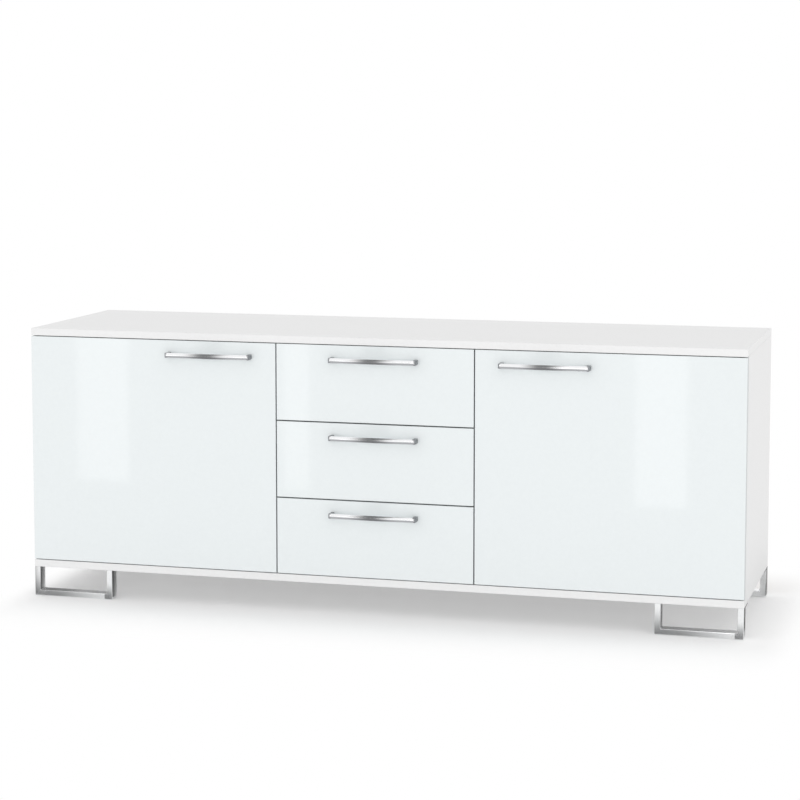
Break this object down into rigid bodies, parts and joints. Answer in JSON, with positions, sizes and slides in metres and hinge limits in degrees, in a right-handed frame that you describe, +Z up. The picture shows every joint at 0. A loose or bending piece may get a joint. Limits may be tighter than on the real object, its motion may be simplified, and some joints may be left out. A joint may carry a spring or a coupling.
{
  "type": "sideboard buffet",
  "caption": "Long low white sideboard with hinged gloss doors either side of a drawer stack, satin bow handles and U-shaped metal feet.",
  "frame": {"origin": "on the floor, in the middle of the outline in width and in depth with the handles", "axes": "+X to the right of someone facing the front, +Y from the front to the back, +Z up"},
  "size_m": [1.8, 0.527, 0.685],
  "materials": {
    "white_board": "matt white melamine on particle board",
    "gloss_white": "high-gloss white lacquer on fibreboard",
    "satin_chrome": "satin chrome plating on steel",
    "plated_steel": "bright zinc or nickel plating",
    "zinc_alloy": "die-cast zinc alloy",
    "hardboard": "thin hardboard, white inside and brown behind",
    "beech": "fluted beech",
    "clear_rubber": "soft clear pad"
  },
  "bodies": {
    "carcass": {"top_panel": "white_board", "bottom_panel": "white_board", "left_side_panel": "white_board", "right_side_panel": "white_board", "left_partition": "white_board", "right_partition": "white_board", "left_back_panel": "hardboard", "middle_back_panel": "hardboard", "right_back_panel": "hardboard", "left_shelf": "white_board", "right_shelf": "white_board", "shelf_pins": "plated_steel", "front_left_foot": "satin_chrome", "front_right_foot": "satin_chrome", "rear_left_foot": "satin_chrome", "rear_right_foot": "satin_chrome", "carcass_dowels": "beech", "cam_discs": "zinc_alloy", "cam_bolts": "plated_steel", "hinge_plates": "plated_steel", "hinge_arms": "plated_steel", "slide_rails": "plated_steel", "countersunk_screws": "plated_steel", "back_nails": "plated_steel"},
    "left_door": {"left_door_panel": "gloss_white", "left_door_handle": "satin_chrome", "left_door_handle_screws": "plated_steel", "left_door_hinge_cups": "plated_steel", "left_door_hinge_pins": "plated_steel", "left_door_bumpers": "clear_rubber"},
    "right_door": {"right_door_panel": "gloss_white", "right_door_handle": "satin_chrome", "right_door_handle_screws": "plated_steel", "right_door_hinge_cups": "plated_steel", "right_door_hinge_pins": "plated_steel", "right_door_bumpers": "clear_rubber"},
    "top_drawer": {"top_drawer_front": "gloss_white", "top_drawer_sides": "white_board", "top_drawer_back": "white_board", "top_drawer_bottom": "hardboard", "top_drawer_handle": "satin_chrome", "top_drawer_handle_screws": "plated_steel", "top_drawer_runners": "plated_steel"},
    "middle_drawer": {"middle_drawer_front": "gloss_white", "middle_drawer_sides": "white_board", "middle_drawer_back": "white_board", "middle_drawer_bottom": "hardboard", "middle_drawer_handle": "satin_chrome", "middle_drawer_handle_screws": "plated_steel", "middle_drawer_runners": "plated_steel"},
    "bottom_drawer": {"bottom_drawer_front": "gloss_white", "bottom_drawer_sides": "white_board", "bottom_drawer_back": "white_board", "bottom_drawer_bottom": "hardboard", "bottom_drawer_handle": "satin_chrome", "bottom_drawer_handle_screws": "plated_steel", "bottom_drawer_runners": "plated_steel"},
    "top_cages": {"top_drawer_ball_cages": "plated_steel"},
    "middle_cages": {"middle_drawer_ball_cages": "plated_steel"},
    "bottom_cages": {"bottom_drawer_ball_cages": "plated_steel"}
  },
  "joints": [
    {"name": "left_door_swing", "type": "hinge", "parent": "carcass", "child": "left_door", "pos_m": [-0.8925, -0.2269, 0.38], "axis": [0, 0, -1], "range_deg": [0, 95]},
    {"name": "right_door_swing", "type": "hinge", "parent": "carcass", "child": "right_door", "pos_m": [0.8925, -0.2269, 0.38], "axis": [0, 0, 1], "range_deg": [0, 95]},
    {"name": "top_drawer_slide", "type": "slide", "parent": "carcass", "child": "top_drawer", "axis": [0, -1, 0], "range_m": [0, 0.33]},
    {"name": "middle_drawer_slide", "type": "slide", "parent": "carcass", "child": "middle_drawer", "axis": [0, -1, 0], "range_m": [0, 0.33]},
    {"name": "bottom_drawer_slide", "type": "slide", "parent": "carcass", "child": "bottom_drawer", "axis": [0, -1, 0], "range_m": [0, 0.33]},
    {"name": "top_cages_roll", "type": "slide", "parent": "carcass", "child": "top_cages", "axis": [0, -1, 0], "range_m": [0, 0.165]},
    {"name": "middle_cages_roll", "type": "slide", "parent": "carcass", "child": "middle_cages", "axis": [0, -1, 0], "range_m": [0, 0.165]},
    {"name": "bottom_cages_roll", "type": "slide", "parent": "carcass", "child": "bottom_cages", "axis": [0, -1, 0], "range_m": [0, 0.165]}
  ],
  "couplings": [
    {"joint": "top_cages_roll", "follows": "top_drawer_slide", "ratio": 0.5},
    {"joint": "middle_cages_roll", "follows": "middle_drawer_slide", "ratio": 0.5},
    {"joint": "bottom_cages_roll", "follows": "bottom_drawer_slide", "ratio": 0.5}
  ]
}
